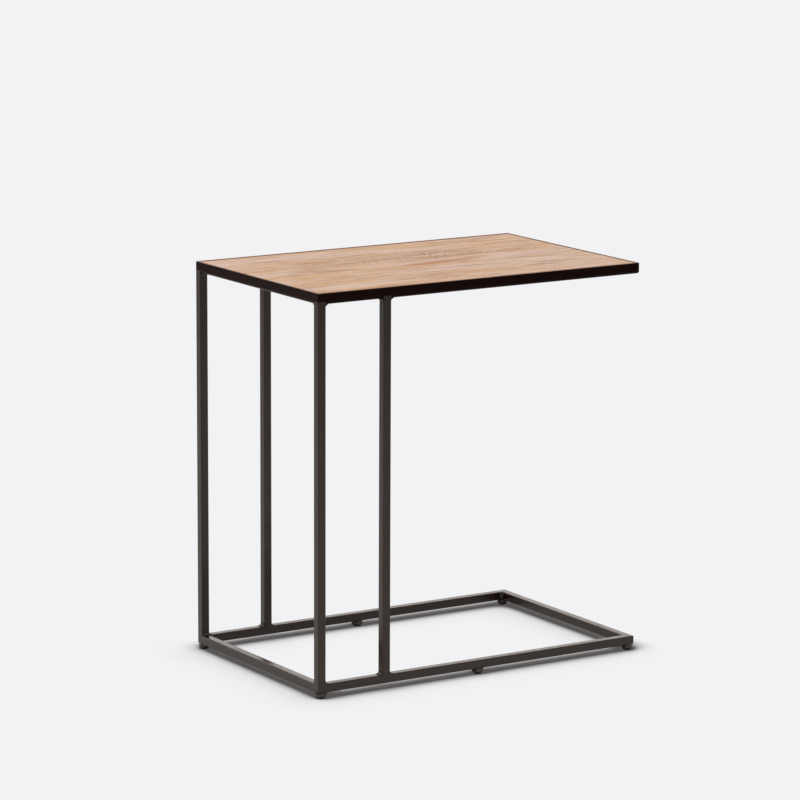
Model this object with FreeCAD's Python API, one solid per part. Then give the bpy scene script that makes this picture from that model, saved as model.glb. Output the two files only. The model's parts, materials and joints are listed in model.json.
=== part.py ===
import FreeCAD, Part
import math
import os

# C-shaped side table: a welded frame of square steel tube, open at its right-hand end (+X) so that
# the base slides under a sofa, a folded angle frame on top, a wooden panel dropped into that frame,
# and six screw-in levelling feet.  Millimetres, +Z up, +X towards the open end, -Y is the front.
# The origin is on the floor, at the middle of the footprint.

# ---------------------------------------------------------------- driving dimensions
table_length = 565.0          # over the frame, along X
table_depth = 356.0           # over the frame, along Y
table_height = 600.0          # floor to the top rim

tube_size = 13.0              # outside of the square tube, half-inch stock with its coat
tube_wall = 1.2
tube_corner_radius = 1.2      # outside corner of the tube, also the frame's corners in plan

leg_spacing = 98.0            # clear space between a corner leg and its inner leg

rim_height = 16.5             # standing leg of the folded rim
rim_flange = 20.0             # lying leg of the same piece, under the panel
rim_thickness = 2.5
rim_fold_radius = 4.2         # outer lower edge of the rim, where it is folded
rim_edge_radius = 0.5         # its broken edges

panel_clearance = 0.5         # between the panel's edge and the rim, all round
panel_recess = 0.4            # how far the panel lies below the rim
panel_edge_radius = 0.4

screw_shank_radius = 1.75
screw_length = 11.0           # from the head's flat to the point
screw_point_length = 3.0
screw_head_radius = 3.5       # countersunk flat head
screw_head_sink = 0.15        # how far the head's flat lies inside the flange
screw_recess_width = 0.9      # one arm of the cross recess
screw_recess_span = 3.2
screw_recess_depth = 1.1
screw_clearance = 0.35        # shank to the hole in the flange
screw_pilot_clearance = 0.05  # shank to the hole in the panel
screw_edge_distance = 11.5    # from the rim's outer face to a screw
screw_end_distance = 70.0     # from the ends of a side to its outer screws
screw_spacing_limit = 230.0   # greatest distance between two screws of a side

foot_height = 9.0             # floor to the underside of the base tubes
foot_inset = 1.5              # from the tubes' centre lines at a corner to the foot, along X
glide_radius = 9.0
glide_top_radius = 8.8
glide_tread_radius = 5.4      # flat that stands on the floor, before its rounding
glide_chamfer_height = 4.6
glide_round = 1.6
glide_top_round = 0.8
glide_floor = 3.2             # plastic left under the stem
stem_grip_clearance = 0.03

stem_radius = 3.0             # M6 thread, over its crests
stem_thread_depth = 0.55
stem_thread_pitch = 1.0
stem_point = 0.8              # chamfer at the stem's upper end
stem_end_gap = 1.0            # stem's end to the tube's upper wall, fully screwed in
thread_clearance = 0.08

insert_flange_radius = 4.75
insert_flange_thickness = 0.8
insert_body_radius = 3.9
insert_body_height = 7.5      # above the tube's underside
insert_collar_height = 1.5    # the part that is crimped out behind the wall
insert_hole_clearance = 0.05
insert_collar_clearance = 0.9 # collar to the tube's side walls

weld_size = 5.2               # height of a fillet weld up each face
weld_lip = 0.15               # its least thickness, along both edges
weld_ripple = 0.45            # depth of the ripple between two beads
weld_pitch = 2.5              # distance between two beads

overcut = 1.0                 # how far a cutting tool runs past the metal

# ---------------------------------------------------------------- places worked out from them
half_length = table_length / 2
half_depth = table_depth / 2
tube_inner_radius = max(tube_corner_radius - tube_wall, 0.1)
rim_inner_radius = max(rim_fold_radius - rim_thickness, 0.1)
rail_top = foot_height + tube_size
rim_bottom = table_height - rim_height
leg_height = rim_bottom - rail_top
panel_bottom = rim_bottom + rim_thickness
panel_top = table_height - panel_recess
glide_top = foot_height - insert_flange_thickness
insert_collar_radius = tube_size / 2 - tube_wall - insert_collar_clearance
stem_top = rail_top - tube_wall - stem_end_gap

corner_leg_x = -half_length + tube_size / 2
inner_leg_x = corner_leg_x + tube_size + leg_spacing
tube_line_y = half_depth - tube_size / 2
tube_line_x = half_length - tube_size / 2
foot_line_x = tube_line_x - foot_inset

legs = {
    "front_corner_leg": (corner_leg_x, -tube_line_y),
    "front_inner_leg": (inner_leg_x, -tube_line_y),
    "rear_corner_leg": (corner_leg_x, tube_line_y),
    "rear_inner_leg": (inner_leg_x, tube_line_y),
}

feet = {
    "front_left_foot": (-foot_line_x, -tube_line_y),
    "front_middle_foot": (0.0, -tube_line_y),
    "front_right_foot": (foot_line_x, -tube_line_y),
    "rear_left_foot": (-foot_line_x, tube_line_y),
    "rear_middle_foot": (0.0, tube_line_y),
    "rear_right_foot": (foot_line_x, tube_line_y),
}

# Each side of a rectangular frame: its length, its distance from the middle, and the turn about Z
# that brings a rail built along the front to that side.
sides = {
    "front": (table_length, half_depth, 0),
    "right": (table_depth, half_length, 90),
    "rear": (table_length, half_depth, 180),
    "left": (table_depth, half_length, 270),
}

X = FreeCAD.Vector(1, 0, 0)
Y = FreeCAD.Vector(0, 1, 0)
Z = FreeCAD.Vector(0, 0, 1)
ORIGIN = FreeCAD.Vector(0, 0, 0)


# ---------------------------------------------------------------- helpers
def outline(corners):
    """Closed wire in the XY plane through (x, y, radius) corners, rounded with tangent arcs."""
    entries, middles, exits = [], [], []
    count = len(corners)
    for index, (x, y, radius) in enumerate(corners):
        corner = FreeCAD.Vector(x, y, 0)
        before = FreeCAD.Vector(*corners[index - 1][:2], 0) - corner
        after = FreeCAD.Vector(*corners[(index + 1) % count][:2], 0) - corner
        before.normalize()
        after.normalize()
        half_angle = before.getAngle(after) / 2
        if radius == 0:
            entries.append(corner)
            middles.append(None)
            exits.append(corner)
            continue
        setback = radius / math.tan(half_angle)
        bisector = (before + after).normalize()
        centre = corner + bisector * (radius / math.sin(half_angle))
        entries.append(corner + before * setback)
        middles.append(centre - bisector * radius)
        exits.append(corner + after * setback)
    edges = []
    for index in range(count):
        if middles[index] is not None:
            edges.append(Part.Arc(entries[index], middles[index], exits[index]).toShape())
        start, end = exits[index], entries[(index + 1) % count]
        if start.distanceToPoint(end) > 1e-6:
            edges.append(Part.LineSegment(start, end).toShape())
    return Part.Wire(edges)


def rounded_rectangle(width, height, radius):
    """Closed wire centred on the origin of the XY plane."""
    return outline([
        (-width / 2, -height / 2, radius),
        (width / 2, -height / 2, radius),
        (width / 2, height / 2, radius),
        (-width / 2, height / 2, radius),
    ])


def turned(corners):
    """Solid of revolution about Z from (radius, height, rounding) corners."""
    face = Part.Face(outline(corners))
    face.rotate(ORIGIN, X, 90)
    return face.revolve(ORIGIN, Z, 360).Solids[0]


def placed(shape, x=0.0, y=0.0, z=0.0):
    """Copy of a shape, moved."""
    copy = shape.copy()
    copy.translate(FreeCAD.Vector(x, y, z))
    return copy


def cylinder(radius, bottom, top, x=0.0, y=0.0):
    """Upright cylinder between two heights."""
    return Part.makeCylinder(radius, top - bottom, FreeCAD.Vector(x, y, bottom), Z)


def along_x(wire, length):
    """Section drawn in XY, stood up in YZ and drawn out along X, centred on the origin."""
    face = Part.Face(wire)
    face.rotate(ORIGIN, FreeCAD.Vector(1, 1, 1), 120)
    face.translate(X * (-length / 2))
    return face.extrude(X * length)


def mitre_block(length, distance, width, bottom, top):
    """Room of one side of a frame with 45 degree mitres, built along the front."""
    corners = [
        (-length / 2, -distance, 0),
        (length / 2, -distance, 0),
        (length / 2 - width, -distance + width, 0),
        (-length / 2 + width, -distance + width, 0),
    ]
    face = Part.Face(outline(corners))
    face.translate(Z * bottom)
    return face.extrude(Z * (top - bottom))


def frame_side(side, bar, width, bottom, top):
    """Cut one bar of a frame to its mitres, turn it to its side and round the frame's corners."""
    length, distance, turn = sides[side]
    bar = bar.common(mitre_block(length, distance, width, bottom, top))
    bar.rotate(ORIGIN, Z, turn)
    plan = Part.Face(rounded_rectangle(table_length, table_depth, tube_corner_radius))
    plan.translate(Z * bottom)
    return bar.common(plan.extrude(Z * (top - bottom)))


def save(name, shapes):
    """Write one node: a single solid, or a group of separate solids."""
    solids = [solid for shape in shapes for solid in shape.Solids]
    node = solids[0] if len(solids) == 1 else Part.makeCompound(solids)
    node.exportStep(os.path.join("parts", name + ".step"))
    volume = sum(solid.Volume for solid in solids)
    print(f"{name:28s} solids {len(solids):2d}  volume {volume:10.1f}  valid {node.isValid()}")


# ---------------------------------------------------------------- base loop and legs
def tube_bar(length):
    """Square tube along X with its section centred on the X axis."""
    inner_size = tube_size - 2 * tube_wall
    outer = along_x(rounded_rectangle(tube_size, tube_size, tube_corner_radius), length)
    inner = along_x(rounded_rectangle(inner_size, inner_size, tube_inner_radius), length)
    return outer.cut(inner)


def base_rail(side):
    """Mitred tube of the base loop, drilled for the threaded inserts of the feet."""
    length, distance, _ = sides[side]
    bar = placed(tube_bar(length), y=-distance + tube_size / 2, z=foot_height + tube_size / 2)
    rail = frame_side(side, bar, tube_size, foot_height, rail_top)
    hole_radius = insert_body_radius + insert_hole_clearance
    for x, y in feet.values():
        rail = rail.cut(cylinder(hole_radius, foot_height - overcut, foot_height + tube_wall + overcut, x, y))
    return rail


def leg(x, y):
    """Upright tube from the base rail to the underside of the rim's flange."""
    bar = tube_bar(leg_height)
    bar.rotate(ORIGIN, Y, 90)
    return placed(bar, x, y, rail_top + leg_height / 2)


# ---------------------------------------------------------------- rim and panel
def rim_side(side):
    """Mitred angle: a standing leg round the panel and a lying flange under it."""
    length, distance, _ = sides[side]
    section = outline([
        (0, 0, rim_fold_radius),
        (rim_flange, 0, rim_edge_radius),
        (rim_flange, rim_thickness, rim_edge_radius),
        (rim_thickness, rim_thickness, rim_inner_radius),
        (rim_thickness, rim_height, rim_edge_radius),
        (0, rim_height, rim_edge_radius),
    ])
    bar = placed(along_x(section, length), y=-distance, z=rim_bottom)
    rim = frame_side(side, bar, rim_flange, rim_bottom, table_height)
    for x, y in screw_places():
        rim = rim.cut(placed(screw_room(), x, y, rim_bottom))
    return rim


def screw_room():
    """Countersunk hole of one panel screw through the flange, whose underside is at height zero."""
    hole_radius = screw_shank_radius + screw_clearance
    mouth_radius = screw_head_radius + screw_head_sink
    return turned([
        (0, -overcut, 0),
        (mouth_radius + overcut, -overcut, 0),
        (hole_radius, mouth_radius - hole_radius, 0),
        (hole_radius, rim_thickness + overcut, 0),
        (0, rim_thickness + overcut, 0),
    ])


def spaced(length):
    """Places of the screws along one side, from end to end."""
    reach = length / 2 - screw_end_distance
    gaps = max(math.ceil(2 * reach / screw_spacing_limit), 1)
    return [-reach + 2 * reach * index / gaps for index in range(gaps + 1)]


def screw_places():
    """Where the panel screws pass the flange, seen from above."""
    places = []
    line_y = half_depth - screw_edge_distance
    line_x = half_length - screw_edge_distance
    for sign in (-1, 1):
        places += [(x, sign * line_y) for x in spaced(table_length)]
        places += [(sign * line_x, y) for y in spaced(table_depth)]
    return places


def pocket():
    """Room inside the rim's standing legs, from the top of its flanges up."""
    length = table_length - 2 * rim_thickness
    depth = table_depth - 2 * rim_thickness
    corner = FreeCAD.Vector(-length / 2, -depth / 2, panel_bottom)
    return Part.makeBox(length, depth, table_height - panel_bottom, corner)


def panel():
    """Wooden board that drops into the rim and lies on its flanges, rounded below like the fold."""
    margin = 2 * (rim_thickness + panel_clearance)
    length = table_length - margin
    depth = table_depth - margin
    thickness = panel_top - panel_bottom
    corner = FreeCAD.Vector(-length / 2, -depth / 2, panel_bottom)
    board = Part.makeBox(length, depth, thickness, corner)
    under = [edge for edge in board.Edges if edge.BoundBox.ZMax < panel_bottom + thickness / 2]
    board = board.makeFillet(rim_inner_radius, under)
    above = [edge for edge in board.Edges if edge.BoundBox.ZMax > panel_top - thickness / 2]
    board = board.makeFillet(panel_edge_radius, above)
    pilot_radius = screw_shank_radius + screw_pilot_clearance
    pilot_top = rim_bottom + screw_head_sink + screw_length + screw_pilot_clearance
    for x, y in screw_places():
        board = board.cut(cylinder(pilot_radius, panel_bottom - overcut, pilot_top, x, y))
    return board


def panel_screw():
    """Flat-head wood screw standing point up, its head's flat at height zero."""
    body = turned([
        (0, 0, 0),
        (screw_head_radius, 0, 0),
        (screw_shank_radius, screw_head_radius - screw_shank_radius, 0),
        (screw_shank_radius, screw_length - screw_point_length, 0),
        (0, screw_length, 0),
    ])
    for angle in (0, 90):
        arm = Part.makeBox(screw_recess_span, screw_recess_width, screw_recess_depth)
        arm.translate(FreeCAD.Vector(-screw_recess_span / 2, -screw_recess_width / 2, 0))
        arm.rotate(ORIGIN, Z, angle)
        body = body.cut(arm)
    return body


# ---------------------------------------------------------------- levelling feet
def glide():
    """Moulded foot: small flat tread, long chamfer up to a short side, with a pocket for the stem."""
    pocket_radius = stem_radius + stem_grip_clearance
    return turned([
        (0, 0, 0),
        (glide_tread_radius, 0, glide_round),
        (glide_radius, glide_chamfer_height, glide_round),
        (glide_top_radius, glide_top, glide_top_round),
        (pocket_radius, glide_top, 0),
        (pocket_radius, glide_floor, 0),
        (0, glide_floor, 0),
    ])


def stem():
    """Threaded stem, its thread drawn as rings of the real pitch and depth."""
    corners = [(0, glide_floor, 0), (stem_radius, glide_floor, 0), (stem_radius, glide_top, 0)]
    root_radius = stem_radius - stem_thread_depth
    height = glide_top
    while height + stem_thread_pitch < stem_top - stem_point:
        corners.append((root_radius, height + stem_thread_pitch / 2, 0))
        height += stem_thread_pitch
        corners.append((stem_radius, height, 0))
    corners += [(stem_radius, stem_top - stem_point, 0), (stem_radius - stem_point, stem_top, 0)]
    corners.append((0, stem_top, 0))
    return turned(corners)


def threaded_insert():
    """Rivet nut in the tube's lower wall: thin flange outside, crimped collar inside, plain bore."""
    bore_radius = stem_radius + thread_clearance
    wall_inside = foot_height + tube_wall
    collar_top = wall_inside + insert_collar_height
    body_top = foot_height + insert_body_height
    return turned([
        (bore_radius, glide_top, 0),
        (insert_flange_radius, glide_top, 0),
        (insert_flange_radius, foot_height, 0),
        (insert_body_radius, foot_height, 0),
        (insert_body_radius, wall_inside, 0),
        (insert_collar_radius, wall_inside, 0),
        (insert_collar_radius, collar_top, 0),
        (insert_body_radius, collar_top, 0),
        (insert_body_radius, body_top, 0),
        (bore_radius, body_top, 0),
    ])


# ---------------------------------------------------------------- welds
def fillet_weld(length, start, run, up, out):
    """Rippled hollow bead from start along run, lying between the faces along up and out."""
    count = max(int(round(length / weld_pitch)), 1)
    step = length / count
    valley = weld_size - weld_lip
    crest = valley - weld_ripple
    corners = [FreeCAD.Vector(-overcut, 0, 0), FreeCAD.Vector(-overcut, valley, 0),
               FreeCAD.Vector(0, valley, 0)]
    edges = [Part.LineSegment(*pair).toShape() for pair in zip(corners, corners[1:])]
    for index in range(count):
        first = FreeCAD.Vector(index * step, valley, 0)
        middle = FreeCAD.Vector((index + 0.5) * step, crest, 0)
        last = FreeCAD.Vector((index + 1) * step, valley, 0)
        edges.append(Part.Arc(first, middle, last).toShape())
    end = length + overcut
    corners = [FreeCAD.Vector(length, valley, 0), FreeCAD.Vector(end, valley, 0), FreeCAD.Vector(end, 0, 0),
               FreeCAD.Vector(-overcut, 0, 0)]
    edges += [Part.LineSegment(*pair).toShape() for pair in zip(corners, corners[1:])]
    hollow = Part.Face(Part.Wire(edges)).revolve(ORIGIN, X, 360)
    bead = Part.makeBox(length, weld_size, weld_size).cut(placed(hollow, y=weld_size, z=weld_size)).Solids[0]
    first_face, second_face = (up, out) if run.dot(up.cross(out)) > 0 else (out, up)
    turn = FreeCAD.Rotation(run, first_face, second_face, "XYZ")
    bead.Placement = FreeCAD.Placement(start, turn)
    return bead


def leg_welds(x, y, height, up):
    """Beads round one leg's end, on each of its faces that has metal beside it."""
    flat = tube_size / 2 - tube_corner_radius
    inward = Y if y < 0 else -Y
    at_top = up.z < 0
    beads = []
    faces = [(X, Y)]
    if x > corner_leg_x + tube_size:
        faces.append((-X, Y))
    if at_top or x < corner_leg_x + tube_size:
        faces.append((inward, X))
    for out, run in faces:
        start = FreeCAD.Vector(x, y, height) + out * (tube_size / 2) - run * flat
        beads.append(fillet_weld(2 * flat, start, run, up, out))
    return beads


def seam_fill(x, y, bottom, top, taken):
    """Weld metal ground flush where a leg's square end meets a rounded edge, beside what is taken."""
    block = Part.Face(rounded_rectangle(tube_size, tube_size, tube_corner_radius))
    block.translate(FreeCAD.Vector(x, y, bottom))
    return block.extrude(Z * (top - bottom)).cut(taken)


def corner_welds():
    """Upright beads in the four inner corners of the base loop."""
    beads = []
    height = tube_size - 2 * tube_corner_radius
    for sign_x in (-1, 1):
        for sign_y in (-1, 1):
            x = sign_x * (half_length - tube_size)
            y = sign_y * (half_depth - tube_size)
            start = FreeCAD.Vector(x, y, foot_height + tube_corner_radius)
            beads.append(fillet_weld(height, start, Z, X * -sign_x, Y * -sign_y))
    return beads


# ---------------------------------------------------------------- build
def main():
    os.makedirs("parts", exist_ok=True)

    rails = {side: base_rail(side) for side in sides}
    rims = {side: rim_side(side) for side in sides}
    for side in sides:
        save(f"base_{side}_rail", [rails[side]])
        save(f"top_{side}_angle", [rims[side]])

    base_welds = corner_welds()
    top_welds = []
    rail_metal = list(rails.values())
    rim_and_pocket = [*rims.values(), pocket()]
    for name, (x, y) in legs.items():
        save(name, [leg(x, y)])
        base_welds += leg_welds(x, y, rail_top, Z)
        base_welds.append(seam_fill(x, y, rail_top - tube_corner_radius, rail_top, rail_metal))
        top_welds += leg_welds(x, y, rim_bottom, -Z)
        top_welds.append(seam_fill(x, y, rim_bottom, rim_bottom + rim_fold_radius, rim_and_pocket))
    save("base_welds", base_welds)
    save("top_welds", top_welds)

    save("top_panel", [panel()])
    screw_seat = rim_bottom + screw_head_sink
    save("panel_screws", [placed(panel_screw(), x, y, screw_seat) for x, y in screw_places()])

    save("foot_inserts", [placed(threaded_insert(), x, y) for x, y in feet.values()])
    for name, (x, y) in feet.items():
        save(f"{name}_glide", [placed(glide(), x, y)])
        save(f"{name}_stem", [placed(stem(), x, y)])


main()
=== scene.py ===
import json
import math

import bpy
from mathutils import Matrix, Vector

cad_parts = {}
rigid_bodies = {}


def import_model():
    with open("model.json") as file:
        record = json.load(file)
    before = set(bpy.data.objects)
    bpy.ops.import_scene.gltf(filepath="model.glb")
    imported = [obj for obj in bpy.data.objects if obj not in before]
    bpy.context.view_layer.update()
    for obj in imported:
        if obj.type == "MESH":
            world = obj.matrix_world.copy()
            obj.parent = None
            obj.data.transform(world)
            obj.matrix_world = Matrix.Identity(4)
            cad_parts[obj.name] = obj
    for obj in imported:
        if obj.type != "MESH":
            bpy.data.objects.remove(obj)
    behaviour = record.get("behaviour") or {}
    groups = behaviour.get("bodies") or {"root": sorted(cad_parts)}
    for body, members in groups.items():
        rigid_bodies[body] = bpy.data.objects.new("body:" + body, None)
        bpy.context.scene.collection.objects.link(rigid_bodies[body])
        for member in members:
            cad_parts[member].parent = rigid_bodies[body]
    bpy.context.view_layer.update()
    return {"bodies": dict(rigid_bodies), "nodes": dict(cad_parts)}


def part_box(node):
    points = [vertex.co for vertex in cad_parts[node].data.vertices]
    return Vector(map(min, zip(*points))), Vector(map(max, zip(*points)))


bl_info = {
    "name": "C Side Table Finishes",
    "version": (1, 0, 0),
    "blender": (4, 5, 0),
    "location": "3D View > Sidebar > Side Table",
    "description": "Coats, wood, plastic and hardware finishes of a C-shaped side table, with its studio",
    "category": "Object",
}

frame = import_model()

MM = 0.001
TUBES_ALONG = {
    "x": ["base_front_rail", "base_rear_rail", "base_welds", "top_welds"],
    "y": ["base_left_rail", "base_right_rail"],
    "z": ["front_corner_leg", "front_inner_leg", "rear_corner_leg", "rear_inner_leg"],
}
RIMS_ALONG = {
    "x": ["top_front_angle", "top_rear_angle"],
    "y": ["top_left_angle", "top_right_angle"],
}
FEET = [name for name in frame["bodies"] if name.endswith("_foot")]

MATH = "ShaderNodeMath"
MIX = "ShaderNodeMix"
RANGE = "ShaderNodeMapRange"
NOISE = "ShaderNodeTexNoise"


# ---------------------------------------------------------------- colour and nodes
def linear(hex_colour):
    """sRGB hex text to the linear red, green, blue and alpha that Blender's sockets hold."""
    channels = [int(hex_colour[i:i + 2], 16) / 255 for i in (1, 3, 5)]
    return [c / 12.92 if c <= 0.04045 else ((c + 0.055) / 1.055) ** 2.4 for c in channels] + [1.0]


def darker(colour, share):
    """The same colour with only a share of its light."""
    return [channel * share for channel in colour[:3]] + [1.0]


def node(tree, kind, inputs=(), **settings):
    """Add one node. Settings are its own properties. Inputs are values, outputs of other nodes, or nodes,
    which give their first output in use. They come by name in a dictionary, or in the order of the
    sockets in use."""
    made = tree.nodes.new(kind)
    for name, value in settings.items():
        setattr(made, name, value)
    if isinstance(inputs, dict):
        filled = [(made.inputs[name], value) for name, value in inputs.items()]
    else:
        filled = zip([socket for socket in made.inputs if socket.enabled], inputs)
    for socket, value in filled:
        if isinstance(value, bpy.types.Node):
            value = next(output for output in value.outputs if output.enabled)
        if isinstance(value, bpy.types.NodeSocket):
            tree.links.new(value, socket)
        else:
            socket.default_value = value
    return made


def pattern(tree, place, sizes, detail=2.0, roughness=0.5):
    """Soft cloudy pattern from 0 to 1 whose cells have real sizes along the three axes."""
    cells = node(tree, "ShaderNodeMapping", {"Vector": place, "Scale": [1 / size for size in sizes]})
    return node(tree, NOISE, {"Vector": cells, "Scale": 1.0, "Detail": detail, "Roughness": roughness})


def new_material(name):
    """Empty node material with its output; returns the material, its tree and the output node."""
    material = bpy.data.materials.new(name)
    material.use_nodes = True
    tree = material.node_tree
    tree.nodes.clear()
    return material, tree, node(tree, "ShaderNodeOutputMaterial")


def finish_nodes(names, material):
    """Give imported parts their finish: shapes and places stay as they are."""
    for name in names:
        packed = frame["nodes"][name]
        for slot in packed.material_slots:
            slot.material = material


# ---------------------------------------------------------------- settings
class CoatSettings(bpy.types.PropertyGroup):
    """Powder coat of the welded steel frame."""

    colour: bpy.props.FloatVectorProperty(
        name="Coat colour", description="Black-bronze of the baked powder", subtype="COLOR",
        size=4, min=0, max=1, default=linear("#1e0d06"))
    rim_colour: bpy.props.FloatVectorProperty(
        name="Rim colour", description="Blacker powder on the rim of the top", subtype="COLOR",
        size=4, min=0, max=1, default=linear("#160806"))
    bloom_colour: bpy.props.FloatVectorProperty(
        name="Bloom colour", description="Warm bloom of the rim's coat at low angles", subtype="COLOR",
        size=4, min=0, max=1, default=linear("#dca08c"))
    bloom: bpy.props.FloatProperty(
        name="Bloom", description="Strength of the bloom on the rim's coat", subtype="FACTOR",
        min=0, max=1, default=0.14)
    shine: bpy.props.FloatProperty(
        name="Coat shine", description="Mirror strength of the coat on the tubes", subtype="FACTOR",
        min=0, max=1, default=0.5)
    rim_shine: bpy.props.FloatProperty(
        name="Rim shine", description="Mirror strength of the coat on the rim", subtype="FACTOR",
        min=0, max=1, default=0.05)
    roughness: bpy.props.FloatProperty(
        name="Roughness", description="Satin gloss of the coat", subtype="FACTOR",
        min=0, max=1, default=0.27)
    peel_width: bpy.props.FloatProperty(
        name="Orange peel width", description="Distance between the dimples of the coat",
        unit="LENGTH", default=1.4 * MM)
    peel_height: bpy.props.FloatProperty(
        name="Orange peel height", description="Depth of the dimples", unit="LENGTH",
        default=0.008 * MM, precision=6)
    cloud_width: bpy.props.FloatProperty(
        name="Cloud width", description="Size of the lighter and darker clouds in the coat",
        unit="LENGTH", default=22 * MM)
    line_length: bpy.props.FloatProperty(
        name="Die line length", description="Length of the drawing lines that show through the coat",
        unit="LENGTH", default=260 * MM)
    line_width: bpy.props.FloatProperty(
        name="Die line width", description="Distance between the drawing lines", unit="LENGTH",
        default=4.5 * MM)
    line_height: bpy.props.FloatProperty(
        name="Die line height", description="Depth of the drawing lines", unit="LENGTH",
        default=0.03 * MM, precision=6)


class WoodSettings(bpy.types.PropertyGroup):
    """Oak board of the table top."""

    light: bpy.props.FloatVectorProperty(
        name="Straw bands", description="Colour of the paler bands", subtype="COLOR",
        size=4, min=0, max=1, default=linear("#d0b8a8"))
    gold: bpy.props.FloatVectorProperty(
        name="Golden bands", description="Colour of the warmer bands", subtype="COLOR",
        size=4, min=0, max=1, default=linear("#c8a47f"))
    dark: bpy.props.FloatVectorProperty(
        name="Dark streaks", description="Colour of the darker fibres", subtype="COLOR",
        size=4, min=0, max=1, default=linear("#946c4f"))
    pore: bpy.props.FloatVectorProperty(
        name="Pores", description="Colour in the open pores", subtype="COLOR",
        size=4, min=0, max=1, default=linear("#5e3a20"))
    # the brown streak's own colour, also used for the painted warm edge glow along the board's edges
    stain_and_edge_glow: bpy.props.FloatVectorProperty(
        name="Stain", description="Colour of the brown streak and of the sawn edges", subtype="COLOR",
        size=4, min=0, max=1, default=linear("#a4672c"))
    grain_sway: bpy.props.FloatProperty(
        name="Grain sway", description="How far the grain bends sideways", unit="LENGTH",
        default=26 * MM)
    band_width: bpy.props.FloatProperty(
        name="Band width", description="Width of the pale and golden bands", unit="LENGTH",
        default=38 * MM)
    streak_width: bpy.props.FloatProperty(
        name="Streak width", description="Width of the darker streaks", unit="LENGTH",
        default=10 * MM)
    fleck_length: bpy.props.FloatProperty(
        name="Fleck length", description="Length of the pale flecks along the grain", unit="LENGTH",
        default=50 * MM)
    fleck_width: bpy.props.FloatProperty(
        name="Fleck width", description="Width of the pale flecks", unit="LENGTH",
        default=11 * MM)
    fibre_width: bpy.props.FloatProperty(
        name="Fibre width", description="Width of one bundle of fibres", unit="LENGTH",
        default=1.2 * MM)
    fibre_height: bpy.props.FloatProperty(
        name="Fibre height", description="Height of the fibres that can be felt under the lacquer",
        unit="LENGTH", default=0.03 * MM, precision=6)
    arch_middle: bpy.props.FloatProperty(
        name="Arch middle", description="Where the field of arches lies, along the board from its middle",
        unit="LENGTH", default=-10 * MM)
    arch_crest: bpy.props.FloatProperty(
        name="Arch crest", description="Where the nested arches lie, across the board from its middle",
        unit="LENGTH", default=52 * MM)
    arch_length: bpy.props.FloatProperty(
        name="Arch field length", description="Length of the field of arches", unit="LENGTH",
        default=380 * MM)
    arch_reach: bpy.props.FloatProperty(
        name="Arch reach", description="Half width of the field of arches", unit="LENGTH",
        default=36 * MM)
    arch_spacing: bpy.props.FloatProperty(
        name="Arch spacing", description="Distance between arches along the grain", unit="LENGTH",
        default=6.0 * MM)
    arch_bend: bpy.props.FloatProperty(
        name="Arch bend", description="How sharply an arch bends back beside its crest, per metre",
        default=6.9)
    pore_length: bpy.props.FloatProperty(
        name="Pore length", description="Length of one open pore along the grain", unit="LENGTH",
        default=5.0 * MM)
    pore_width: bpy.props.FloatProperty(
        name="Pore width", description="Width of one open pore", unit="LENGTH",
        default=0.42 * MM)
    brown_place: bpy.props.FloatVectorProperty(
        name="Brown streak place", description="Middle of the one brown streak, on the board",
        subtype="TRANSLATION", size=2, default=(45 * MM, -10.5 * MM))
    brown_length: bpy.props.FloatProperty(
        name="Brown streak length", description="From its middle to where it has faded away",
        unit="LENGTH", default=100 * MM)
    brown_width: bpy.props.FloatProperty(
        name="Brown streak width", description="From its middle line to where it has faded away",
        unit="LENGTH", default=16 * MM)
    brown_skew: bpy.props.FloatProperty(
        name="Brown streak skew", description="How far it runs sideways for its length", default=0.1)
    # how far in from the long edges the painted warm edge glow reaches
    edge_glow_reach: bpy.props.FloatProperty(
        name="Edge stain", description="How far the stain reaches in from the long edges",
        unit="LENGTH", default=9 * MM)
    roughness: bpy.props.FloatProperty(
        name="Lacquer roughness", description="Matt lacquer over the wood", subtype="FACTOR",
        min=0, max=1, default=0.55)
    shine: bpy.props.FloatProperty(
        name="Lacquer shine", description="Mirror strength of the lacquer", subtype="FACTOR",
        min=0, max=1, default=0.2)


class FittingSettings(bpy.types.PropertyGroup):
    """Feet, screws and inserts."""

    glide: bpy.props.FloatVectorProperty(
        name="Glide colour", description="Brown-black moulded nylon", subtype="COLOR",
        size=4, min=0, max=1, default=linear("#3a302c"))
    zinc: bpy.props.FloatVectorProperty(
        name="Zinc colour", description="Bright zinc plating", subtype="COLOR",
        size=4, min=0, max=1, default=linear("#c2c3bf"))
    black_zinc: bpy.props.FloatVectorProperty(
        name="Black zinc colour", description="Black-passivated zinc", subtype="COLOR",
        size=4, min=0, max=1, default=linear("#3a3838"))


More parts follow.
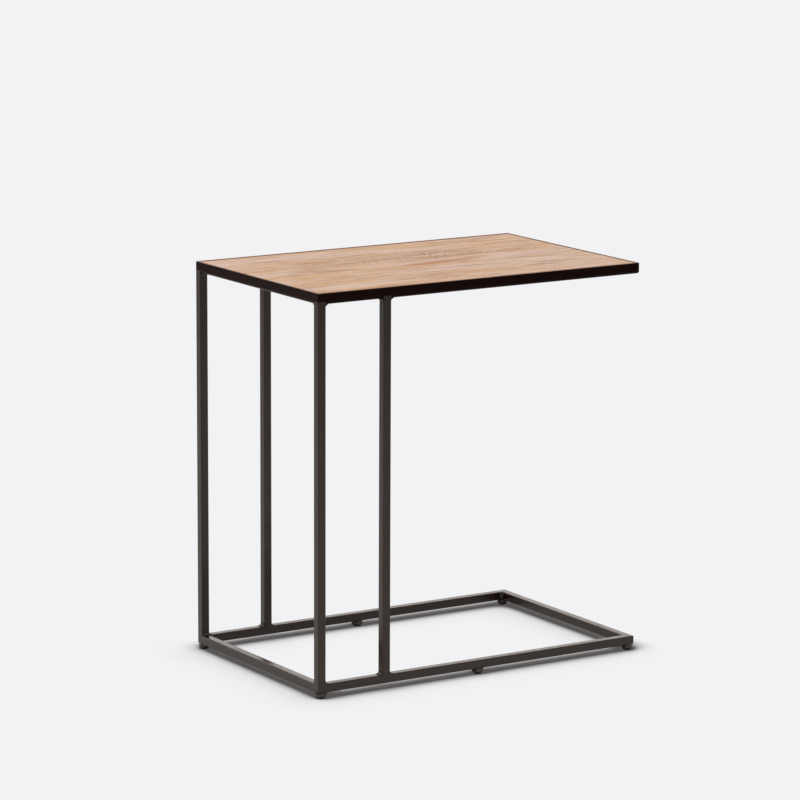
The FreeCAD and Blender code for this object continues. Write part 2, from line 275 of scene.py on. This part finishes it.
class StudioSettings(bpy.types.PropertyGroup):
    """Camera, floor and light."""

    backdrop: bpy.props.FloatVectorProperty(
        name="Backdrop", description="Pale colour of the floor and the space behind", subtype="COLOR",
        size=4, min=0, max=1, default=linear("#f2f2f4"))
    bounce: bpy.props.FloatVectorProperty(
        name="Bounce", description="Warmer tint of the light that the paper throws on the table",
        subtype="COLOR", size=4, min=0, max=1, default=linear("#f2eae4"))
    camera_distance: bpy.props.FloatProperty(
        name="Camera distance", description="From the table's middle line, on the floor, to the camera",
        unit="LENGTH", default=5.970)
    camera_height: bpy.props.FloatProperty(
        name="Camera height", description="Above the floor", unit="LENGTH", default=1.531)
    camera_side: bpy.props.FloatProperty(
        name="Camera side", description="Direction of the camera from the table, from the front",
        subtype="ANGLE", default=math.radians(-32.619))
    look_turn: bpy.props.FloatProperty(
        name="Look turn", description="Heading of the camera's view", subtype="ANGLE",
        default=math.radians(-32.372))
    look_down: bpy.props.FloatProperty(
        name="Look down", description="Tilt of the camera's view", subtype="ANGLE",
        default=math.radians(10.835))
    look_roll: bpy.props.FloatProperty(
        name="Roll", description="Roll of the camera about its view", subtype="ANGLE",
        default=math.radians(0.223))
    lens: bpy.props.FloatProperty(
        name="Lens", description="Focal length on a sensor 36 mm wide, in millimetres", default=180.57)
    floor_radius: bpy.props.FloatProperty(
        name="Floor radius", description="Radius of the floor", unit="LENGTH", default=12.0)
    pool_radius: bpy.props.FloatProperty(
        name="Light pool", description="Radius of the brightly lit floor, as the metal sees it",
        unit="LENGTH", default=2.3)
    pool_fade: bpy.props.FloatProperty(
        name="Light pool fade", description="Half width of the band in which the pool grows dimmer",
        unit="LENGTH", default=0.45)
    sweep_radius: bpy.props.FloatProperty(
        name="Paper edge", description="Radius at which the pale paper ends, as the metal sees it",
        unit="LENGTH", default=5.0)
    sweep_fade: bpy.props.FloatProperty(
        name="Paper edge fade", description="Half width of the band in which the paper ends",
        unit="LENGTH", default=0.3)
    top_shade: bpy.props.FloatProperty(
        name="Shade under the top", description="Brightness of the floor below the top, as the metal "
        "sees it", subtype="FACTOR", min=0, max=1, default=0.7)
    contact_reach: bpy.props.FloatProperty(
        name="Contact shadow reach", description="How far from the floor a thing still shades it",
        unit="LENGTH", default=0.046)
    contact_cover: bpy.props.FloatProperty(
        name="Contact cover", description="Open share of the space over the floor at which it is darkest",
        subtype="FACTOR", min=0, max=1, default=0.61)
    contact_dark: bpy.props.FloatProperty(
        name="Contact dark", description="Brightness of the floor where it is darkest",
        subtype="FACTOR", min=0, max=1, default=0.12)
    contact_lean: bpy.props.FloatVectorProperty(
        name="Contact shadow lean", description="Side from which the light comes low over the floor",
        subtype="DIRECTION", default=(-0.56, -0.36, 1.0))
    soft_reach: bpy.props.FloatProperty(
        name="Soft shadow reach", description="How far the faint wide shadow spreads",
        unit="LENGTH", default=0.085)
    soft_cover: bpy.props.FloatProperty(
        name="Soft shadow cover", description="Open share of the space at which it is darkest",
        subtype="FACTOR", min=0, max=1, default=0.75)
    soft_dark: bpy.props.FloatProperty(
        name="Soft shadow dark", description="Brightness of the floor where the wide shadow is darkest",
        subtype="FACTOR", min=0, max=1, default=0.88)
    soft_lean: bpy.props.FloatVectorProperty(
        name="Soft shadow lean", description="Side of each thing that the wide shadow doesn't reach",
        subtype="DIRECTION", default=(0.5, 0.2, 1.0))
    front_lamp_power: bpy.props.FloatProperty(
        name="Front lamp power", description="Square lamp high in front, in watts", default=14.0)
    front_lamp_place: bpy.props.FloatVectorProperty(
        name="Front lamp place", description="Where the lamp in front hangs", subtype="TRANSLATION",
        default=(-0.8, -2.8, 3.0))
    rear_lamp_power: bpy.props.FloatProperty(
        name="Rear lamp power", description="Square lamp behind the table that draws glints on the "
        "welds, in watts", default=28.0)
    rear_lamp_place: bpy.props.FloatVectorProperty(
        name="Rear lamp place", description="Where the lamp behind hangs", subtype="TRANSLATION",
        default=(-1.65, 2.45, 2.7))
    lamp_size: bpy.props.FloatProperty(
        name="Lamp size", description="Side of each square lamp", unit="LENGTH", default=0.3)
    lamp_aim: bpy.props.FloatVectorProperty(
        name="Lamp aim", description="Point that both lamps face", subtype="TRANSLATION",
        default=(0.0, 0.0, 0.3))


SETTINGS = (
    ("table_coat", CoatSettings), ("table_wood", WoodSettings),
    ("table_fittings", FittingSettings), ("table_studio", StudioSettings),
)


# ---------------------------------------------------------------- materials
def powder_coated_steel(name, settings, colour, shine, bloom, axis):
    """Polyester powder sprayed on mild steel and baked: satin, a soft mirror of the studio at low
    angles, fine orange peel, and soft lines along axis where the drawn metal shows through. Shine is the
    strength of the mirror, and bloom that of a warm haze at low angles."""
    material, tree, output = new_material(name)
    place = node(tree, "ShaderNodeTexCoord").outputs["Object"]
    cell = [settings.line_length if side == axis else settings.line_width for side in "xyz"]
    lines = pattern(tree, place, cell)
    dimples = pattern(tree, place, [settings.peel_width] * 3, 2.0, 0.45)
    cloud = pattern(tree, place, [settings.cloud_width] * 3, 5.0, 0.6)
    drawn = node(tree, "ShaderNodeBump", {"Distance": settings.line_height, "Height": lines})
    peel = node(tree, "ShaderNodeBump", {
        "Distance": settings.peel_height, "Height": dimples, "Normal": drawn})

    # clouds and lines change both colour and gloss
    off_mean = node(tree, MATH, [lines, 0.5], operation="SUBTRACT")
    mottle = node(tree, MATH, [off_mean, 0.8, cloud], operation="MULTIPLY_ADD")
    gloss = node(tree, RANGE, [
        mottle, 0.3, 0.7, settings.roughness - 0.05, settings.roughness + 0.05],
        interpolation_type="SMOOTHSTEP")
    tint = node(tree, MIX, [mottle, darker(colour, 0.6), colour], data_type="RGBA")
    surface = node(tree, "ShaderNodeBsdfPrincipled", {
        "Base Color": tint, "Roughness": gloss, "IOR": 1.5, "Specular IOR Level": shine,
        "Sheen Weight": bloom, "Sheen Roughness": 0.3, "Sheen Tint": settings.bloom_colour,
        "Normal": peel})
    tree.links.new(surface.outputs["BSDF"], output.inputs["Surface"])
    return material


def nested_arches(tree, settings, place, along, across):
    """Strength of the arches of flat-sawn wood: nested curves in one long field."""
    # each curve bends back from its crest, wavers a little and is broken up by grit
    off_crest = node(tree, MATH, [across, settings.arch_crest], operation="SUBTRACT")
    squared = node(tree, MATH, [off_crest, off_crest], operation="MULTIPLY")
    bowed = node(tree, MATH, [squared, settings.arch_bend, along], operation="MULTIPLY_ADD")
    waver = pattern(tree, place, (30 * MM, 20 * MM, 20 * MM))
    curve = node(tree, MATH, [waver, 9 * MM, bowed], operation="MULTIPLY_ADD")
    turns = node(tree, MATH, [curve, 2 * math.pi / settings.arch_spacing], operation="MULTIPLY")
    wave = node(tree, MATH, [turns], operation="SINE")
    grit = pattern(tree, place, (3 * MM, 8 * MM, 8 * MM), 2.0, 0.7)
    broken = node(tree, MATH, [wave, 0.1, grit], operation="MULTIPLY_ADD")
    drawn = node(tree, RANGE, [broken, 0.53, 0.63, 0.0, 1.0], interpolation_type="SMOOTHSTEP")

    # the field is an oval with a ragged edge
    off_middle = node(tree, MATH, [along, settings.arch_middle], operation="SUBTRACT")
    to_ends = node(tree, MATH, [off_middle, settings.arch_length / 2], operation="DIVIDE")
    to_sides = node(tree, MATH, [off_crest, settings.arch_reach], operation="DIVIDE")
    ends_squared = node(tree, MATH, [to_ends, to_ends], operation="MULTIPLY")
    oval = node(tree, MATH, [to_sides, to_sides, ends_squared], operation="MULTIPLY_ADD")
    rags = pattern(tree, place, (70 * MM, 16 * MM, 16 * MM))
    ragged = node(tree, MATH, [rags, 1.6, oval], operation="MULTIPLY_ADD")
    field = node(tree, RANGE, [ragged, 1.2, 2.4, 1.0, 0.0], interpolation_type="SMOOTHSTEP")

    # the arches are bolder towards the open end of the table
    bolder = node(tree, RANGE, [along, -80 * MM, 40 * MM, 0.58, 0.84], interpolation_type="SMOOTHSTEP")
    inside = node(tree, MATH, [drawn, field], operation="MULTIPLY")
    return node(tree, MATH, [inside, bolder], operation="MULTIPLY")


def open_pores(tree, settings, grain, streaks):
    """Strength of the pores: short dashes along the grain, denser in the darker streaks. Real ones are
    about 0.25 mm wide; they are drawn coarser, so that they show."""
    cell = (settings.pore_length, settings.pore_width, settings.pore_width)
    dashes = pattern(tree, grain, cell, 1.0)
    drawn = node(tree, RANGE, [dashes, 0.6, 0.68, 0.0, 1.0], interpolation_type="SMOOTHSTEP")
    denser = node(tree, RANGE, [streaks, 0.4, 0.6, 0.35, 1.0], interpolation_type="SMOOTHSTEP")
    return node(tree, MATH, [drawn, denser], operation="MULTIPLY")


def brown_streak(tree, settings, along, across, streaks):
    """Strength of the one narrow brown streak: a little askew, and broken up by the darker fibres. It is
    full within 3 mm of its line and 40 mm of its middle."""
    middle_along, middle_across = settings.brown_place
    line = middle_across - settings.brown_skew * middle_along
    skewed = node(tree, MATH, [along, -settings.brown_skew, across], operation="MULTIPLY_ADD")
    off_line = node(tree, MATH, [skewed, line], operation="SUBTRACT")
    beside = node(tree, MATH, [off_line], operation="ABSOLUTE")
    off_middle = node(tree, MATH, [along, middle_along], operation="SUBTRACT")
    beyond = node(tree, MATH, [off_middle], operation="ABSOLUTE")
    narrow = node(tree, RANGE, [beside, 3 * MM, settings.brown_width, 1.0, 0.0],
                  interpolation_type="SMOOTHSTEP")
    short = node(tree, RANGE, [beyond, 40 * MM, settings.brown_length, 1.0, 0.0],
                 interpolation_type="SMOOTHSTEP")
    broken = node(tree, RANGE, [streaks, 0.3, 0.6, 0.45, 1.0], interpolation_type="SMOOTHSTEP")
    spot = node(tree, MATH, [narrow, short], operation="MULTIPLY")
    return node(tree, MATH, [spot, broken], operation="MULTIPLY")


def painted_edge_glow(tree, settings, along, across):
    """Strength of the painted warm edge glow, a darker warm line where the board meets the rim; a third
    as wide at the two ends.
    """
    low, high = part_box("top_panel")
    middle = (low + high) / 2
    insets = []
    for position, centre, edge in ((across, middle.y, high.y), (along, middle.x, high.x)):
        off_centre = node(tree, MATH, [position, centre], operation="SUBTRACT")
        out = node(tree, MATH, [off_centre], operation="ABSOLUTE")
        insets.append(node(tree, MATH, [edge - centre, out], operation="SUBTRACT"))
    from_long_edge, from_end = insets
    widened = node(tree, MATH, [from_end, 3.0], operation="MULTIPLY")
    nearest = node(tree, MATH, [from_long_edge, widened], operation="MINIMUM")
    return node(tree, RANGE, [nearest, 3 * MM, settings.edge_glow_reach, 1.0, 0.0],
                interpolation_type="SMOOTHSTEP")


def lacquered_oak(settings):
    """Flat-sawn oak, sanded and sprayed with matt lacquer: straw and golden bands along the board, fibre
    streaks, a field of nested arches drawn by open pores, one brown streak, and a painted warm edge glow."""
    material, tree, output = new_material("lacquered_oak")
    place = node(tree, "ShaderNodeTexCoord").outputs["Object"]
    along, across, height = node(tree, "ShaderNodeSeparateXYZ", [place]).outputs

    # the grain sways a little, so every streak is laid along a bent line
    drift = pattern(tree, place, (230 * MM, 70 * MM, 70 * MM))
    bent = node(tree, MATH, [drift, settings.grain_sway, across], operation="MULTIPLY_ADD")
    grain = node(tree, "ShaderNodeCombineXYZ", [along, bent, height])

    # lengths along the grain, widths across it; single fibres are too fine to show, so bundles stand
    # in for them
    bands = pattern(tree, grain, (330 * MM, settings.band_width, settings.band_width), 3.0, 0.55)
    streaks = pattern(tree, grain, (120 * MM, settings.streak_width, settings.streak_width), 4.0, 0.6)
    flecks = pattern(
        tree, grain, (settings.fleck_length, settings.fleck_width, settings.fleck_width), 3.0, 0.65)
    fibres = pattern(tree, grain, (60 * MM, settings.fibre_width, settings.fibre_width), 3.0, 0.6)
    arches = nested_arches(tree, settings, place, along, across)
    pores = open_pores(tree, settings, grain, streaks)
    brown = brown_streak(tree, settings, along, across, streaks)
    # painted warm edge glow where the board meets the rim
    edges = painted_edge_glow(tree, settings, along, across)

    # bands and fibres: pattern, where it starts and is full, how much it covers, colour
    colour = settings.light
    for layer, start, full, cover, tint in (
            (bands, 0.38, 0.62, 1.0, settings.gold), (streaks, 0.42, 0.72, 0.75, settings.dark),
            (flecks, 0.45, 0.7, 0.8, settings.light), (fibres, 0.4, 0.8, 0.5, settings.dark)):
        strength = node(tree, RANGE, [layer, start, full, 0.0, cover], interpolation_type="SMOOTHSTEP")
        colour = node(tree, MIX, [strength, colour, tint], data_type="RGBA")
    # brown streak, painted warm edge glow and pores over them
    soft_pores = node(tree, MATH, [pores, 0.55], operation="MULTIPLY")
    marks = node(tree, MATH, [arches, soft_pores], operation="MAXIMUM")
    for layer, cover, tint in (
            (brown, 0.8, settings.stain_and_edge_glow), (edges, 0.9, settings.stain_and_edge_glow), (marks, 1.0, settings.pore)):
        strength = node(tree, MATH, [layer, cover], operation="MULTIPLY")
        colour = node(tree, MIX, [strength, colour, tint], data_type="RGBA")

    pits = node(tree, MATH, [pores, arches], operation="MAXIMUM")
    level = node(tree, MATH, [fibres, pits], operation="SUBTRACT")
    skin = node(tree, "ShaderNodeBump", {"Distance": settings.fibre_height, "Height": level})
    matt = node(tree, RANGE, [
        fibres, 0.3, 0.7, settings.roughness - 0.06, settings.roughness + 0.08],
        interpolation_type="SMOOTHSTEP")
    surface = node(tree, "ShaderNodeBsdfPrincipled", {
        "Base Color": colour, "Roughness": matt, "IOR": 1.46, "Specular IOR Level": settings.shine,
        "Normal": skin})
    tree.links.new(surface.outputs["BSDF"], output.inputs["Surface"])
    return material


def moulded_nylon(settings):
    """Brown-black nylon from a polished mould: a soft shine with faint flow clouds and fine scuffs."""
    material, tree, output = new_material("moulded_nylon")
    place = node(tree, "ShaderNodeTexCoord").outputs["Object"]
    cloud = pattern(tree, place, [3 * MM] * 3, 4.0, 0.6)
    scuffs = pattern(tree, place, [0.4 * MM] * 3)
    tint = node(tree, MIX, [cloud, darker(settings.glide, 0.6), settings.glide], data_type="RGBA")
    gloss = node(tree, RANGE, [cloud, 0.3, 0.7, 0.14, 0.24], interpolation_type="SMOOTHSTEP")
    skin = node(tree, "ShaderNodeBump", {"Distance": 0.01 * MM, "Height": scuffs})
    surface = node(tree, "ShaderNodeBsdfPrincipled", {
        "Base Color": tint, "Roughness": gloss, "IOR": 1.53, "Normal": skin})
    tree.links.new(surface.outputs["BSDF"], output.inputs["Surface"])
    return material


def zinc_plated_steel(name, colour):
    """Turned steel with a zinc plating: cloudy grey metal with turning marks. Real marks are under 0.1 mm
    apart; they are drawn 0.25 mm apart, so that they show."""
    material, tree, output = new_material(name)
    place = node(tree, "ShaderNodeTexCoord").outputs["Object"]
    marks = pattern(tree, place, (6 * MM, 6 * MM, 0.25 * MM), 3.0, 0.6)
    cloud = pattern(tree, place, [4 * MM] * 3, 4.0, 0.6)
    tint = node(tree, MIX, [cloud, darker(colour, 0.75), colour], data_type="RGBA")
    gloss = node(tree, RANGE, [cloud, 0.3, 0.7, 0.28, 0.46], interpolation_type="SMOOTHSTEP")
    skin = node(tree, "ShaderNodeBump", {"Distance": 0.008 * MM, "Height": marks})
    surface = node(tree, "ShaderNodeBsdfPrincipled", {
        "Base Color": tint, "Metallic": 1.0, "Roughness": gloss, "Normal": skin})
    tree.links.new(surface.outputs["BSDF"], output.inputs["Surface"])
    return material


def openness(tree, lean, reach, samples):
    """Open share of the space over the floor, within reach, weighed towards the side lean."""
    towards = node(tree, "ShaderNodeCombineXYZ", Vector(lean).normalized())
    cover = node(tree, "ShaderNodeAmbientOcclusion", {"Distance": reach, "Normal": towards},
                 samples=samples)
    return cover.outputs["AO"]


def floor_shade(tree, settings):
    """Brightness of the paper: dark close under the feet and rails, and faintly darker on one side of
    them further out."""
    close = openness(tree, settings.contact_lean, settings.contact_reach, 24)
    wide = openness(tree, settings.soft_lean, settings.soft_reach, 16)
    core = node(tree, RANGE, [close, settings.contact_cover, 1.0, settings.contact_dark, 1.0],
                interpolation_type="SMOOTHSTEP")
    halo = node(tree, RANGE, [wide, settings.soft_cover, 1.0, settings.soft_dark, 1.0],
                interpolation_type="SMOOTHSTEP")
    return node(tree, MATH, [core, halo], operation="MULTIPLY")


def light_pool(tree, settings):
    """Light that the metal gets from the paper: less far out and under the top, none past the edge."""
    place = node(tree, "ShaderNodeTexCoord").outputs["Object"]
    radius = node(tree, "ShaderNodeVectorMath", [place], operation="LENGTH")
    light = 1.0
    for end, fade, beyond in ((settings.pool_radius, settings.pool_fade, 0.82),
                              (settings.sweep_radius, settings.sweep_fade, 0.02)):
        dimmed = node(tree, RANGE, [radius, end - fade, end + fade, 1.0, beyond],
                      interpolation_type="SMOOTHSTEP")
        light = node(tree, MATH, [light, dimmed], operation="MULTIPLY")

    # how far out of the top's shade a point lies, with 1 at the top's own edge
    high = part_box("top_panel")[1]
    split = node(tree, "ShaderNodeSeparateXYZ", [place])
    outs = []
    for position, edge in ((split.outputs["X"], high.x), (split.outputs["Y"], high.y)):
        off_middle = node(tree, MATH, [position], operation="ABSOLUTE")
        outs.append(node(tree, MATH, [off_middle, edge], operation="DIVIDE"))
    out = node(tree, MATH, outs, operation="MAXIMUM")
    shaded = node(tree, RANGE, [out, 0.75, 1.1, settings.top_shade, 1.0],
                  interpolation_type="SMOOTHSTEP")
    return node(tree, MATH, [light, shaded], operation="MULTIPLY")


def pale_paper_floor(settings):
    """Matt paper sweep: to the eye the backdrop's own colour, shaded under the table, and to the metal
    a pool of light. It shows from above only."""
    material, tree, output = new_material("pale_paper_floor")
    to_eye = node(tree, "ShaderNodeLightPath").outputs["Is Camera Ray"]
    shade = floor_shade(tree, settings)
    seen = node(tree, MIX, [to_eye, light_pool(tree, settings), 1.0], data_type="FLOAT")
    strength = node(tree, MATH, [seen, shade], operation="MULTIPLY")

    # the darker the shade, the more of the warmer tint the eye sees in it, up to half
    pure = node(tree, MATH, [shade, 0.5, 0.5], operation="MULTIPLY_ADD")
    plain = node(tree, MATH, [to_eye, pure], operation="MULTIPLY")
    tint = node(tree, MIX, [plain, settings.bounce, settings.backdrop], data_type="RGBA")
    glow = node(tree, "ShaderNodeEmission", {"Color": tint, "Strength": strength})
    clear = node(tree, "ShaderNodeBsdfTransparent")
    below = node(tree, "ShaderNodeNewGeometry").outputs["Backfacing"]
    side = node(tree, "ShaderNodeMixShader", [below, glow, clear])
    tree.links.new(side.outputs["Shader"], output.inputs["Surface"])
    return material


# ---------------------------------------------------------------- operators
class TABLE_OT_frame_coat(bpy.types.Operator):
    """Powder-coat the base tubes, legs, rim and their welds"""

    bl_idname = "side_table.frame_coat"
    bl_label = "Coat the frame"

    def execute(self, context):
        coat = context.scene.table_coat
        for axis, names in TUBES_ALONG.items():
            finish_nodes(names, powder_coated_steel(
                f"bronze_powder_coat_along_{axis}", coat, coat.colour, coat.shine, 0.0, axis))
        for axis, names in RIMS_ALONG.items():
            finish_nodes(names, powder_coated_steel(
                f"black_powder_coat_along_{axis}", coat, coat.rim_colour, coat.rim_shine, coat.bloom,
                axis))
        return {"FINISHED"}


class TABLE_OT_top_panel(bpy.types.Operator):
    """Finish the wooden panel in the rim"""

    bl_idname = "side_table.top_panel"
    bl_label = "Finish the panel"

    def execute(self, context):
        finish_nodes(["top_panel"], lacquered_oak(context.scene.table_wood))
        return {"FINISHED"}


class TABLE_OT_feet(bpy.types.Operator):
    """Finish the six glides"""

    bl_idname = "side_table.feet"
    bl_label = "Finish the feet"

    def execute(self, context):
        finish_nodes([f"{foot}_glide" for foot in FEET], moulded_nylon(context.scene.table_fittings))
        return {"FINISHED"}


class TABLE_OT_hardware(bpy.types.Operator):
    """Finish the stems, inserts and panel screws"""

    bl_idname = "side_table.hardware"
    bl_label = "Finish the hardware"

    def execute(self, context):
        fittings = context.scene.table_fittings
        bright = zinc_plated_steel("bright_zinc_steel", fittings.zinc)
        finish_nodes([f"{foot}_stem" for foot in FEET] + ["foot_inserts"], bright)
        finish_nodes(["panel_screws"], zinc_plated_steel("black_zinc_steel", fittings.black_zinc))
        return {"FINISHED"}


class TABLE_OT_studio(bpy.types.Operator):
    """Set the floor, the light and the camera"""

    bl_idname = "side_table.studio"
    bl_label = "Set the studio"

    def execute(self, context):
        studio = context.scene.table_studio
        self.lay_floor(context, studio)
        self.light_space(context, studio)
        self.hang_lamp(context, studio, "front_lamp", studio.front_lamp_place, studio.front_lamp_power)
        self.hang_lamp(context, studio, "rear_lamp", studio.rear_lamp_place, studio.rear_lamp_power)
        self.set_camera(context, studio)
        context.scene.view_settings.view_transform = "Standard"
        return {"FINISHED"}

    def lay_floor(self, context, studio):
        """Round sheet of paper on which the table stands."""
        steps = 96
        turn = 2 * math.pi / steps
        rim = [(studio.floor_radius * math.cos(i * turn), studio.floor_radius * math.sin(i * turn), 0)
               for i in range(steps)]
        mesh = bpy.data.meshes.new("floor")
        mesh.from_pydata(rim, [], [list(range(steps))])
        mesh.materials.append(pale_paper_floor(studio))
        floor = bpy.data.objects.new("floor", mesh)
        context.scene.collection.objects.link(floor)

    def light_space(self, context, studio):
        """Pale light from above and around, almost none from under the horizon, and the plain backdrop
        to the eye."""
        world = bpy.data.worlds.new("studio_space")
        context.scene.world = world
        world.use_nodes = True
        tree = world.node_tree
        tree.nodes.clear()
        direction = node(tree, "ShaderNodeTexCoord").outputs["Generated"]
        height = node(tree, "ShaderNodeSeparateXYZ", [direction]).outputs["Z"]
        ahead = (-math.sin(studio.camera_side), math.cos(studio.camera_side), 0.0)
        facing = node(tree, "ShaderNodeVectorMath", [direction, ahead], operation="DOT_PRODUCT")
        dome = node(tree, RANGE, [height, -0.05, 0.1, 0.03, 1.1], interpolation_type="SMOOTHSTEP")
        low = node(tree, RANGE, [height, 0.2, 0.6, 1.0, 0.0], interpolation_type="SMOOTHSTEP")

        # low down it is nearly shut off on the camera's side, and stronger behind the table
        near = node(tree, RANGE, [facing, -0.35, -0.05, 1.0, 0.0], interpolation_type="SMOOTHSTEP")
        low_near = node(tree, MATH, [near, low], operation="MULTIPLY")
        shut = node(tree, MATH, [low_near, -0.95, 1.0], operation="MULTIPLY_ADD")
        behind = node(tree, RANGE, [facing, 0.2, 0.7, 0.0, 0.5], interpolation_type="SMOOTHSTEP")
        stronger = node(tree, MATH, [behind, low, 1.0], operation="MULTIPLY_ADD")
        light = node(tree, MATH, [dome, shut], operation="MULTIPLY")
        light = node(tree, MATH, [light, stronger], operation="MULTIPLY")

        to_eye = node(tree, "ShaderNodeLightPath").outputs["Is Camera Ray"]
        strength = node(tree, MIX, [to_eye, light, 1.0], data_type="FLOAT")
        tint = node(tree, MIX, [to_eye, studio.bounce, studio.backdrop], data_type="RGBA")
        glow = node(tree, "ShaderNodeBackground", {"Color": tint, "Strength": strength})
        output = node(tree, "ShaderNodeOutputWorld")
        tree.links.new(glow.outputs["Background"], output.inputs["Surface"])

    def hang_lamp(self, context, studio, name, place, power):
        """Square lamp aimed at the table."""
        lamp = bpy.data.lights.new(name, "AREA")
        lamp.energy = power
        lamp.size = studio.lamp_size
        hung = bpy.data.objects.new(name, lamp)
        context.scene.collection.objects.link(hung)
        hung.location = place
        to_table = Vector(studio.lamp_aim) - Vector(place)
        hung.rotation_euler = to_table.to_track_quat("-Z", "Y").to_euler()

    def set_camera(self, context, studio):
        """Long lens from the front left, a little above the top."""
        lens = bpy.data.cameras.new("camera")
        lens.sensor_width = 36
        lens.lens = studio.lens
        lens.clip_start = 0.1
        lens.clip_end = 100
        camera = bpy.data.objects.new("camera", lens)
        context.scene.collection.objects.link(camera)
        away = Vector((math.sin(studio.camera_side), -math.cos(studio.camera_side), 0))
        spot = away * studio.camera_distance + Vector((0, 0, studio.camera_height))
        aim = (Matrix.Rotation(studio.look_turn, 4, "Z")
               @ Matrix.Rotation(math.pi / 2 - studio.look_down, 4, "X")
               @ Matrix.Rotation(studio.look_roll, 4, "Z"))
        camera.matrix_world = Matrix.Translation(spot) @ aim
        context.scene.camera = camera


OPERATORS = (
    TABLE_OT_studio, TABLE_OT_frame_coat, TABLE_OT_top_panel, TABLE_OT_feet, TABLE_OT_hardware,
)


class TABLE_PT_panel(bpy.types.Panel):
    """Finishes of the side table"""

    bl_idname = "TABLE_PT_panel"
    bl_label = "Side Table"
    bl_space_type = "VIEW_3D"
    bl_region_type = "UI"
    bl_category = "Side Table"

    def draw(self, context):
        for operator in OPERATORS:
            self.layout.operator(operator.bl_idname)
        for name, group in SETTINGS:
            box = self.layout.box()
            for setting in group.__annotations__:
                box.prop(getattr(context.scene, name), setting)


def register():
    for name, group in SETTINGS:
        bpy.utils.register_class(group)
        setattr(bpy.types.Scene, name, bpy.props.PointerProperty(type=group))
    for shown in (*OPERATORS, TABLE_PT_panel):
        bpy.utils.register_class(shown)


def unregister():
    for shown in reversed((*OPERATORS, TABLE_PT_panel)):
        bpy.utils.unregister_class(shown)
    for name, group in reversed(SETTINGS):
        delattr(bpy.types.Scene, name)
        bpy.utils.unregister_class(group)


def main():
    register()
    bpy.ops.side_table.studio()
    bpy.ops.side_table.frame_coat()
    bpy.ops.side_table.top_panel()
    bpy.ops.side_table.feet()
    bpy.ops.side_table.hardware()


if __name__ == "__main__":
    main()
